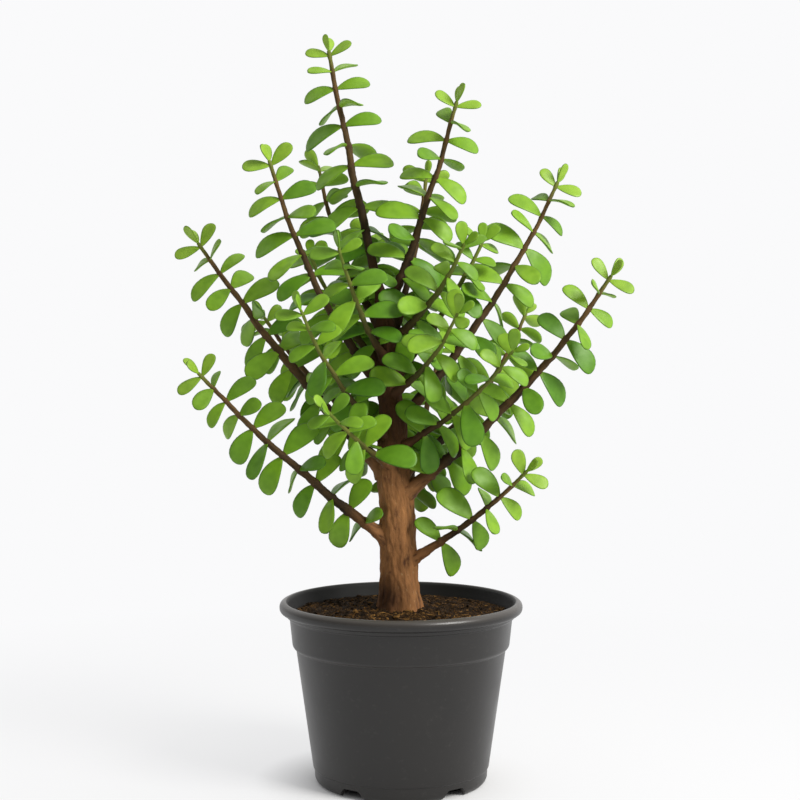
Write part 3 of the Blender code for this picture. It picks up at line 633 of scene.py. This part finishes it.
def trunk_surface(rings, around):
    """The trunk as rings up its centre line. The radius adds long flutes,
    root buttresses, a collar below each branch, old scars and corky waves.
    With the rings come the bark's own coordinates."""
    height = np.linspace(TRUNK[0][0], TRUNK[-1][0], rings)
    angle = np.linspace(0, 2 * np.pi, around, endpoint=False)
    radius = eased(height, 3)[:, None]
    h = height[:, None]
    t = angle[None, :]
    shape = radius * (1 + 0.034 * np.sin(3 * t + 1.2 * np.sin(h / 27)) + 0.018 * np.sin(7 * t + h / 46)
                      + 0.01 * np.sin(13 * t - h / 27))
    for turn, _, _ in ROOTS:
        shape = shape + BUTTRESS_DEPTH * bump_at(t, h, math.radians(turn), *BUTTRESS_FORM, radius)
    for row in BRANCHES:
        foot, _ = trunk_at(row[1])
        lean = Vector(row[2]) - foot
        turn = math.atan2(lean.y, lean.x)
        level = row[1] + lean.z / max(lean.xy.length, 20) * float(trunk_at(row[1])[1]) - 2
        shape = shape + (0.34 * row[4]) * bump_at(t, h, turn, level, row[4] * 1.9, row[4] * 2.4, radius)
    rng = np.random.default_rng(8)
    turns = rng.uniform(0, 2 * np.pi, SCAR_COUNT)
    levels = rng.uniform(*SCAR_HEIGHTS, SCAR_COUNT)
    depths = rng.uniform(*SCAR_DEPTHS, SCAR_COUNT)
    for turn, level, deep in zip(turns, levels, depths):
        shape = shape + deep * bump_at(t, h, turn, level, *SCAR_FORM, radius)
    tall = h * np.ones_like(t)
    spot = np.stack([radius * np.cos(t), radius * np.sin(t), tall * 0.3], -1)
    shape = shape + 0.22 * waves(spot, 5.0, 21) + 0.12 * waves(spot, 2.4, 22)
    taper = np.clip((height[-1] - h) / 14, 0, 1)
    shape = shape * (0.8 + 0.2 * taper)
    x = eased(height, 1)[:, None] + shape * np.cos(t)
    y = eased(height, 2)[:, None] + shape * np.sin(t)
    grain = np.stack([radius * np.cos(t), radius * np.sin(t), tall], -1) * MM
    return np.stack([x, y, tall], -1), grain


def root_surfaces(steps, around):
    """Buried roots: tapered tubes that bend down from the crown."""
    blocks = []
    steady = np.linspace(0, 1, steps)
    taper = np.linspace(6.6, 1.2, steps)[:, None]
    for turn, reach, depth in ROOTS:
        out = np.array([math.cos(math.radians(turn)), math.sin(math.radians(turn)), 0])
        start = np.array([0, 0, CROWN]) + out * 4
        bend = start + out * reach * 0.55 - np.array([0, 0, 4.0])
        tip = start + out * reach - np.array([0, 0, depth])
        blocks.append(carried(curve_points(start, bend, tip, steady), taper, around))
    return np.stack(blocks)


def curve_points(start, bend, tip, t):
    """A quadratic curve from start to tip, drawn towards the bend point."""
    t = t[:, None]
    return (1 - t) ** 2 * start + 2 * t * (1 - t) * bend + t * t * tip


def carried(path, radii, around):
    """A circle carried along a path: each ring lies square to the path, and
    its zero angle is square to the Y axis as well."""
    slope = unit(np.gradient(path, axis=0))
    across = unit(np.cross(np.array([0.0, -1.0, 0.0]), slope))
    ahead = np.cross(slope, across)
    angle = np.linspace(0, 2 * np.pi, around, endpoint=False)
    ring = across[:, None] * np.cos(angle)[None, :, None] + ahead[:, None] * np.sin(angle)[None, :, None]
    return path[:, None] + ring * radii[..., None]


def stem_line(row):
    """The CAD stem: points on a quadratic curve from the trunk's heart to the
    tip."""
    start, _ = trunk_at(row[1])
    if row[0] == "leader":
        start = start - Vector((0, 0, 6))
    steps = [i / STEM_POINTS for i in range(STEM_POINTS + 1)]
    bend, tip = Vector(row[2]), Vector(row[3])
    return [start * (1 - t) ** 2 + bend * 2 * t * (1 - t) + tip * t * t for t in steps]


def stem_radius(row, t):
    """Radius of a stem at a fraction of its length: it tapers as t^0.8."""
    return row[4] + (row[5] - row[4]) * t ** 0.8


def along(points, distance):
    """Place, direction and fraction at a distance along a line of points."""
    total = sum((b - a).length for a, b in zip(points, points[1:]))
    left = min(distance, total)
    for a, b in zip(points, points[1:]):
        step = (b - a).length
        if left <= step or b is points[-1]:
            return a + (b - a) * (left / step), (b - a).normalized(), min(distance / total, 1.0)
        left -= step


def pair_places(number, row, total):
    """Distances from the foot of each leaf pair, from the tip down."""
    place = total - 1.0
    places = []
    while place > row[6]:
        pair = len(places)
        places.append(place)
        grown = PAIR_STEP * (0.95 + 0.15 * vary(number, pair + 7))
        place -= TIP_STEPS[pair] if pair < len(TIP_STEPS) else grown
    return places


def stem_surface(number, row, rings, around):
    """A stem as rings along its line, which starts inside the trunk and
    wanders a fraction of a millimetre. The radius swells at each leaf pair and
    flares where it leaves the trunk. With the rings come, at each point, the
    bark's own coordinates, how woody and how green the stem is, and the
    fraction of its length reached."""
    leader = row[0] == "leader"
    line = np.array([list(p) for p in stem_line(row)])
    length = np.concatenate([[0], np.cumsum(np.linalg.norm(np.diff(line, axis=0), axis=1))])
    total = length[-1]
    trunk_radius = float(trunk_at(row[1])[1])
    first = 0.0 if leader else 0.4 * trunk_radius
    run = np.linspace(first, total + 0.6, rings)
    path = np.stack([np.interp(run, length, line[:, i]) for i in range(3)], -1)
    near = run[:, None] + np.linspace(-9, 9, 9)
    soft = np.stack([np.interp(near, length, line[:, i]).mean(1) for i in range(3)], -1)
    path = np.where(((run > first + 9) & (run < total - 9))[:, None], soft, path)
    t = np.clip(run / total, 0, 1)
    lanes = [np.stack([run, run * 0, run * 0 + number * 7 + k], -1) for k in range(3)]
    stray = np.stack([waves(lane, 34.0, 50 + k) for k, lane in enumerate(lanes)], -1)
    path = path + STEM_WANDER * stray * (4 * t * (1 - t))[:, None]

    radius = stem_radius(row, t)
    if leader:
        radius = radius * (0.72 + 0.28 * t)
    else:
        radius = radius + (1.0 + 0.42 * row[4]) * np.exp(-np.clip(run - trunk_radius + 1, 0, None) / 6.5)
        radius = np.minimum(radius, trunk_radius * 0.86)
    for place in pair_places(number, row, float(total)):
        radius = radius + 0.16 * radius * np.exp(-((run - place) / 1.5) ** 2)
        radius = radius - 0.05 * radius * np.exp(-((run - place - 2.6) / 0.8) ** 2)
    radius = (radius * np.clip((total + 0.6 - run) / 2.0, 0.02, 1) ** 0.5)[:, None]

    angle = np.linspace(0, 2 * np.pi, around, endpoint=False)
    full = np.ones_like(angle)
    spot = np.stack([radius * np.cos(angle), radius * np.sin(angle), run[:, None] * full * 0.5], -1)
    uneven = radius * (1 + 0.05 * waves(spot + number * 31.0, 6.0, 30) + 0.03 * waves(spot, 2.2, 31))
    grain = np.stack([spot[..., 0] + number * 17.0, spot[..., 1], run[:, None] * full], -1) * MM
    wood = np.clip(1.1 - run / 40 if leader else 1.15 - (run - trunk_radius) / 30, 0, 1)
    green = np.clip(1 - (total - run) / (90 if row[0] in INNER else 18), 0, 1) ** 1.3
    wood, green, t = (value[:, None] * full for value in (wood, green, t))
    return carried(path, uneven, around), grain, wood, green, t


# -------------------------------------------------------------------- leaves
def leaf_frame(out, tangent, toward, twist):
    """Side and face vectors: the face looks up the stem, then to the light."""
    up_stem = (tangent - out * tangent.dot(out)).normalized()
    light = (toward - out * toward.dot(out)).normalized()
    face = (up_stem * (1 - twist) + light * twist).normalized()
    face = (face - out * face.dot(out)).normalized()
    return out.cross(face).normalized(), face


def leaf_plan(number, row):
    """Wished leaves of a branch, two opposite ones at each pair."""
    points = stem_line(row)
    total = sum((b - a).length for a, b in zip(points, points[1:]))
    view = Vector((0, -1, 0)) if row[3][1] < 40 else Vector((0, 1, 0))
    toward = view * 0.8 + Vector((0, 0, 0.55))
    plan = []
    for pair, place in enumerate(pair_places(number, row, total)):
        here, tangent, t = along(points, place)
        level = min(pair, len(TIP_STEPS) - 1)
        across = view.cross(tangent).normalized()
        ahead = tangent.cross(across).normalized()
        turn = 90 * (pair + 1) + row[7]
        if pair and turn % 180:
            turn += PAIR_OBLIQUE * (-1) ** (pair // 2 + number)
        angle = math.radians(turn + 26 * (vary(number, pair) - 0.5))
        for half in (0, 1):
            a = angle + math.pi * half
            normal = across * math.cos(a) + ahead * math.sin(a)
            seed = number * 31 + pair * 2 + half
            tilt = math.radians(TIP_LEANS[level] + 14 * max(0.0, -normal.z) + 20 * (vary(seed, 1) - 0.5))
            out = (tangent * math.cos(tilt) + normal * math.sin(tilt)).normalized()
            length = LEAF_LENGTH * TIP_SIZES[level] * (0.84 + 0.30 * vary(seed, 2))
            facing = abs(normal.dot(view))
            twist = 0.85 - 0.35 * facing + 0.15 * vary(seed, 3) if pair else 1.0
            aside = Vector((0.9 * facing if vary(seed, 8) > 0.5 else -0.9 * facing, 0, 0))
            light = (toward + aside).normalized()
            base = here + normal * stem_radius(row, t) * 0.35
            plan.append((base, out, tangent, light, length, twist, seed, total - place))
    return plan


def make_leaf(wish, attempt):
    """One leaf from a wish; later attempts turn and shorten it."""
    base, out, tangent, toward, length, twist, seed, from_tip = wish
    spin = LEAF_SPINS[attempt]
    out = (out + tangent * spin * 0.5 + tangent.cross(out) * spin).normalized()
    length = length * LEAF_TRIMS[attempt]
    side, face = leaf_frame(out, tangent, toward, twist)
    width = length * (LEAF_WIDTH + 0.06 * (vary(seed, 4) - 0.5))
    thick = LEAF_THICK * (0.6 + 0.4 * length / LEAF_LENGTH)
    curl = 0.10 + 0.12 * vary(seed, 5)
    sag = 0.08 + 0.14 * vary(seed, 6)
    if from_tip < TIP_REACH:
        curl = 0.05
        sag = 0.0
    down = Vector((0, 0, -1))
    down = down - out * down.dot(out)
    tip = base + (out - face * curl + down * sag) * length
    return [*base, *out, *side, *face, *down, length, width, thick, curl, sag], tip


def frame_leaves(number, row):
    """The leaves that the frame's branch carries: a wish is kept in the form
    whose tip is a corner of the node. Each leaf is a row of five directions
    and places, five measures, its tone, its freshness and its seed."""
    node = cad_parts[row[0]]
    tree = KDTree(len(node.data.vertices))
    for i, v in enumerate(node.data.vertices):
        tree.insert(v.co / MM, i)
    tree.balance()
    found = []
    for wish in leaf_plan(number, row):
        forms = [make_leaf(wish, attempt) for attempt in range(len(LEAF_SPINS))]
        near = [tree.find(tip)[2] for _, tip in forms]
        best = int(np.argmin(near))
        *_, seed, from_tip = wish
        if near[best] < LEAF_FOUND:
            fresh = math.exp(-from_tip / 15.0) * (0.35 if row[0] in INNER else 1.0)
            found.append([*forms[best][0], vary(seed, 11), fresh, seed])
    return np.array(found)


def leaf_blades(table, rows, around):
    """Leaves as rings along each blade. Width grows as u^0.62 and closes as
    the root of 1 - u^3.4, so the blade is a spoon with a round tip. The ring
    is a lens with a shallow channel above and its edges drawn up a little."""
    base, out, side, face, down = (table[:, None, None, 3 * i:3 * i + 3] for i in range(5))
    length, width, thick, curl, sag, _, _, seed = (table[:, None, None, 15 + i:16 + i] for i in range(8))
    u = (0.5 - 0.5 * np.cos(np.linspace(0.0, np.pi, rows))) ** 0.92
    u[-1] = 0.997
    u = u[None, :, None, None]
    a = np.linspace(0, 2 * np.pi, around, endpoint=False)[None, None, :, None]
    form = u ** 0.62 * np.sqrt(1 - u ** 3.4) / 0.674
    form = np.maximum(form, 0.17 * (1 - u))
    ripple = 1 + 0.035 * np.sin(7 * u + seed) * np.cos(a + seed)
    half = width * 0.5 * form * ripple
    deep = thick * 0.5 * np.clip(form, 0.3 * (1 - u) + 0.02, 1) ** 0.6
    x = np.cos(a) * half
    up = np.clip(np.sin(a), 0, 1)
    z = np.sin(a) * deep - 0.28 * deep * up ** 3 * form
    z = z + 0.16 * half * np.cos(a) ** 2
    spine = base + length * (out * u - face * (curl * u * u) + down * (sag * u * u))
    slope = unit(out - face * (2 * curl * u) + down * (2 * sag * u))
    normal = unit(np.cross(slope, side * np.ones_like(slope)))
    normal = normal * np.sign((normal * face).sum(-1, keepdims=True))
    points = spine + side * x + normal * z
    blade = np.concatenate([np.abs(np.cos(a)) * np.ones_like(x), u * np.ones_like(x),
                            np.clip(-np.sin(a), 0, 1) * np.ones_like(x)], -1)
    return points, blade


def weld(ob):
    """Join points of a mesh that lie on each other."""
    bm = bmesh.new()
    bm.from_mesh(ob.data)
    bmesh.ops.remove_doubles(bm, verts=bm.verts, dist=1e-6)
    bm.to_mesh(ob.data)
    bm.free()


def outward(ob):
    """Turn a closed mesh's faces outwards."""
    bm = bmesh.new()
    bm.from_mesh(ob.data)
    bmesh.ops.recalc_face_normals(bm, faces=bm.faces)
    bm.to_mesh(ob.data)
    bm.free()


# ---------------------------------------------------------------- properties
def colour(name, about, code):
    """A colour property whose default is an sRGB hex code."""
    return FloatVectorProperty(name=name, description=about, subtype="COLOR", size=3, min=0, max=1,
                               default=linear(code))


class PotSettings(bpy.types.PropertyGroup):
    around: IntProperty(name="Facets", description="Columns round the pot", default=480, min=60, max=720)
    plastic: colour("Plastic", "Charcoal of the moulded pot", "191715")
    dust: colour("Dust", "Dry dust on the plastic", "55524e")
    roughness: FloatProperty(name="Roughness", description="How matt the plastic is", subtype="FACTOR",
                             default=0.35, min=0.1, max=0.9)


class SoilSettings(bpy.types.PropertyGroup):
    crumbs: IntProperty(name="Crumbs", description="Loose crumbs on the soil", default=1500, min=0, max=3000)
    chips: IntProperty(name="Chips", description="Larger clods and bark chips", default=60, min=0, max=300)
    fibres: IntProperty(name="Fibres", description="Thin fibres of peat and bark", default=700,
                        min=0, max=1200)
    soil: colour("Soil", "Moist peat", "291c0e")
    rust: colour("Rust", "Reddish fibre in the peat", "503718")
    chip: colour("Chip", "Dry bark chips and clay", "8c6736")


class WoodSettings(bpy.types.PropertyGroup):
    bark: colour("Bark", "Lit cork of the trunk", "98693f")
    # The dark streak colour, dimmed, also paints the shadow at the root crown and the shade in the heart of
    # the crown.
    bark_dark: colour("Bark cracks", "Dark streaks of the trunk", "4a2d1a")
    flake: colour("Flakes", "Pale loose flakes of the trunk", "b08d61")
    stem: colour("Stem", "Smooth bark of a young stem", "5e4625")
    stem_old: colour("Old stem", "Dark bark near the trunk", "3a2a15")
    shoot: colour("Shoot", "Green of the last growth", "6a7a2e")


class LeafSettings(bpy.types.PropertyGroup):
    leaf: colour("Leaf", "Grown leaf", "709e24")
    leaf_deep: colour("Deep leaf", "Oldest leaves", "53841b")
    leaf_bright: colour("Bright leaf", "Well-lit leaves", "84af2b")
    leaf_new: colour("New leaf", "Leaves at the tips", "93b63a")
    leaf_under: colour("Underside", "Paler lower skin", "8bb03d")
    leaf_edge: colour("Margin", "Thin darker margin", "335a10")
    gloss_rough: FloatProperty(name="Leaf roughness", description="How matt the waxy skin is",
                               subtype="FACTOR", default=0.42, min=0.1, max=0.9)


class StageSettings(bpy.types.PropertyGroup):
    floor: colour("Floor", "Plain pale floor", "ebebeb")
    room: colour("Room", "Pale walls of the room", "fafafb")
    reach: FloatProperty(name="Floor radius", description="Radius of the floor", subtype="DISTANCE",
                         unit="LENGTH", default=14.0, min=2)
    ambient: FloatProperty(name="Ambient", description="Light of the room on the object", default=0.6,
                           min=0, max=2)
    key: FloatProperty(name="Key light", description="Power of the softbox", subtype="POWER", unit="POWER",
                       default=39.0, min=0)
    lens: FloatProperty(name="Lens", description="Focal length", subtype="DISTANCE_CAMERA", unit="CAMERA",
                        default=71.8, min=20, max=200)
    distance: FloatProperty(name="Camera distance", description="Camera to the pot's axis", subtype="DISTANCE",
                            unit="LENGTH", default=1.08, min=0.3)
    eye: FloatProperty(name="Camera height", description="Camera above the floor", subtype="DISTANCE",
                       unit="LENGTH", default=0.307, min=0)
    aim: FloatProperty(name="Aim height", description="Height the camera looks at", subtype="DISTANCE",
                       unit="LENGTH", default=0.2594, min=0)


# ----------------------------------------------------------------- operators
class JADE_OT_pot(bpy.types.Operator):
    """Build the nursery pot"""
    bl_idname = "jade.pot"
    bl_label = "Pot"

    def execute(self, context):
        s = context.scene.jade_pot
        ob = sheets("nursery_pot", pot_surface(s)[None], ends=(False, False))
        weld(ob)
        outward(ob)
        cut_drains(ob)
        place_piece(ob, pot_material(s), "pot_plastic", "pot")
        return {"FINISHED"}


class JADE_OT_soil(bpy.types.Operator):
    """Build the soil with its crumbs and chips"""
    bl_idname = "jade.soil"
    bl_label = "Soil"

    def execute(self, context):
        s = context.scene.jade_soil
        ground = sheets("soil_mound", soil_surface(rings=96, around=220)[None])
        outward(ground)
        place_piece(ground, soil_material(s), "soil", "soil")
        crumbs = crumb_material(s)
        fine = crumb_cloud("soil_crumbs", s.crumbs, sizes=(0.5, 2.2), flat=0.45, slim=0.95,
                           tones=(0.0, 0.9), seed=5)
        large = crumb_cloud("soil_chips", s.chips, sizes=(1.5, 3.6), flat=0.3, slim=0.95,
                            tones=(0.1, 0.95), seed=9)
        thin = crumb_cloud("soil_fibres", s.fibres, sizes=(1.4, 4.6), flat=0.1, slim=0.17,
                           tones=(0.3, 1.0), seed=13)
        for loose in (fine, large, thin):
            place_piece(loose, crumbs, "soil")
        return {"FINISHED"}


class JADE_OT_trunk(bpy.types.Operator):
    """Build the trunk and its buried roots"""
    bl_idname = "jade.trunk"
    bl_label = "Trunk"

    def execute(self, context):
        s = context.scene.jade_wood
        rings, grain = trunk_surface(rings=300, around=112)
        ob = sheets("trunk_bark", rings[None])
        mark(ob, "grain", grain.reshape(-1, 3))
        outward(ob)
        bark = bark_material(s, "jade_bark", False)
        place_piece(ob, bark, "bark", "trunk")
        blocks = root_surfaces(steps=16, around=14)
        roots = sheets("roots", blocks)
        mark(roots, "grain", blocks.reshape(-1, 3) * MM)
        outward(roots)
        place_piece(roots, bark, "bark")
        return {"FINISHED"}


class JADE_OT_stems(bpy.types.Operator):
    """Build the stem of every branch"""
    bl_idname = "jade.stems"
    bl_label = "Stems"

    def execute(self, context):
        bark = bark_material(context.scene.jade_wood, "young_jade_bark", True)
        for number, row in enumerate(BRANCHES):
            rings, grain, wood, tip, reach = stem_surface(number, row, rings=150, around=16)
            ob = sheets("stem_" + row[0], rings[None])
            mark(ob, "grain", grain.reshape(-1, 3))
            mark(ob, "wood", wood.reshape(-1))
            mark(ob, "tip", tip.reshape(-1))
            mark(ob, "reach", reach.reshape(-1))
            outward(ob)
            place_piece(ob, bark, "bark", row[0])
        return {"FINISHED"}


class JADE_OT_leaves(bpy.types.Operator):
    """Build the leaves of every branch"""
    bl_idname = "jade.leaves"
    bl_label = "Leaves"

    def execute(self, context):
        green = leaf_material(context.scene.jade_leaf)
        for number, row in enumerate(BRANCHES):
            table = frame_leaves(number, row)
            points, blade = leaf_blades(table, rows=13, around=12)
            each = points.shape[1] * points.shape[2]
            ob = sheets("leaves_" + row[0], points)
            mark(ob, "blade", blade.reshape(-1, 3))
            mark(ob, "tone", np.repeat(table[:, LEAF_TONE], each))
            mark(ob, "young", np.repeat(table[:, LEAF_FRESH], each))
            outward(ob)
            place_piece(ob, green, "leaf", row[0])
        return {"FINISHED"}


def lay_floor(s):
    """A round sheet just under the pot."""
    turn = np.linspace(0, 2 * np.pi, FLOOR_SIDES, endpoint=False)
    rim = np.stack([np.cos(turn), np.sin(turn), np.zeros_like(turn)], -1) * s.reach
    mesh = bpy.data.meshes.new("floor")
    mesh.from_pydata((rim - [0, 0, 0.0002]).tolist(), [], [list(range(FLOOR_SIDES))])
    floor = bpy.data.objects.new("floor", mesh)
    bpy.context.scene.collection.objects.link(floor)
    floor.data.materials.append(floor_material(s))


def light_room(s):
    """An even pale room, brighter behind, above and to the right, and one
    square softbox at the front right."""
    world = bpy.data.worlds.new("soft_room")
    bpy.context.scene.world = world
    world.use_nodes = True
    tree = world.node_tree
    tree.nodes.clear()
    heading = add(tree, "ShaderNodeTexCoord", out="Generated")
    toward = (0.42, 0.8, 0.42)
    bright = add(tree, "ShaderNodeVectorMath", {0: heading, 1: toward}, "Value", operation="DOT_PRODUCT")
    walls = {0: bright, 1: -0.5, 2: 0.75, 3: s.ambient * 0.36, 4: s.ambient * 1.7}
    room = add(tree, "ShaderNodeMapRange", walls)
    seen = add(tree, "ShaderNodeLightPath", out="Is Camera Ray")
    even = add(tree, "ShaderNodeMath", {0: seen, 1: room}, operation="MAXIMUM")
    strength = add(tree, "ShaderNodeMath", {0: even, 1: 1.0}, operation="MINIMUM")
    back = add(tree, "ShaderNodeBackground", {"Color": shade(s.room), "Strength": strength})
    add(tree, "ShaderNodeOutputWorld", {"Surface": back})

    data = bpy.data.lights.new("key", "AREA")
    data.shape = "SQUARE"
    data.size = 0.8
    data.energy = s.key
    data.color = (1.0, 0.985, 0.955)
    softbox = bpy.data.objects.new("key", data)
    bpy.context.scene.collection.objects.link(softbox)
    softbox.location = (1.3, -1.0, 1.3)
    softbox.rotation_euler = (Vector((0, 0, 0.25)) - softbox.location).to_track_quat("-Z", "Y").to_euler()


def set_camera(s):
    """A camera in front of the pot that looks a little down at the plant."""
    data = bpy.data.cameras.new("camera")
    data.lens = s.lens
    data.sensor_width = 36.0
    data.shift_x = -0.00125
    camera = bpy.data.objects.new("camera", data)
    bpy.context.scene.collection.objects.link(camera)
    camera.location = (0, -s.distance, s.eye)
    camera.rotation_euler = (Vector((0, 0, s.aim)) - camera.location).to_track_quat("-Z", "Y").to_euler()
    bpy.context.scene.camera = camera
    bpy.context.scene.view_settings.view_transform = "Standard"


class JADE_OT_stage(bpy.types.Operator):
    """Set the floor, the soft light and the camera"""
    bl_idname = "jade.stage"
    bl_label = "Stage"

    def execute(self, context):
        s = context.scene.jade_stage
        lay_floor(s)
        light_room(s)
        set_camera(s)
        return {"FINISHED"}


OPERATORS = (JADE_OT_pot, JADE_OT_soil, JADE_OT_trunk, JADE_OT_stems, JADE_OT_leaves, JADE_OT_stage)
SETTINGS = {
    "jade_pot": PotSettings,
    "jade_soil": SoilSettings,
    "jade_wood": WoodSettings,
    "jade_leaf": LeafSettings,
    "jade_stage": StageSettings,
}


class JADE_PT_panel(bpy.types.Panel):
    """Lists the pieces and their settings"""
    bl_idname = "JADE_PT_panel"
    bl_label = "Jade plant"
    bl_space_type = "VIEW_3D"
    bl_region_type = "UI"
    bl_category = "Jade plant"

    def draw(self, context):
        for operator in OPERATORS:
            self.layout.operator(operator.bl_idname)
        for name, group in SETTINGS.items():
            box = self.layout.box()
            for key in group.__annotations__:
                box.prop(getattr(context.scene, name), key)


CLASSES = (*SETTINGS.values(), *OPERATORS, JADE_PT_panel)


def register():
    for group in CLASSES:
        bpy.utils.register_class(group)
    for name, group in SETTINGS.items():
        setattr(bpy.types.Scene, name, PointerProperty(type=group))


def unregister():
    for name in SETTINGS:
        delattr(bpy.types.Scene, name)
    for group in reversed(CLASSES):
        bpy.utils.unregister_class(group)


def main():
    register()
    bpy.ops.jade.pot()
    bpy.ops.jade.soil()
    bpy.ops.jade.trunk()
    bpy.ops.jade.stems()
    bpy.ops.jade.leaves()
    bpy.ops.jade.stage()


if __name__ == "__main__":
    main()
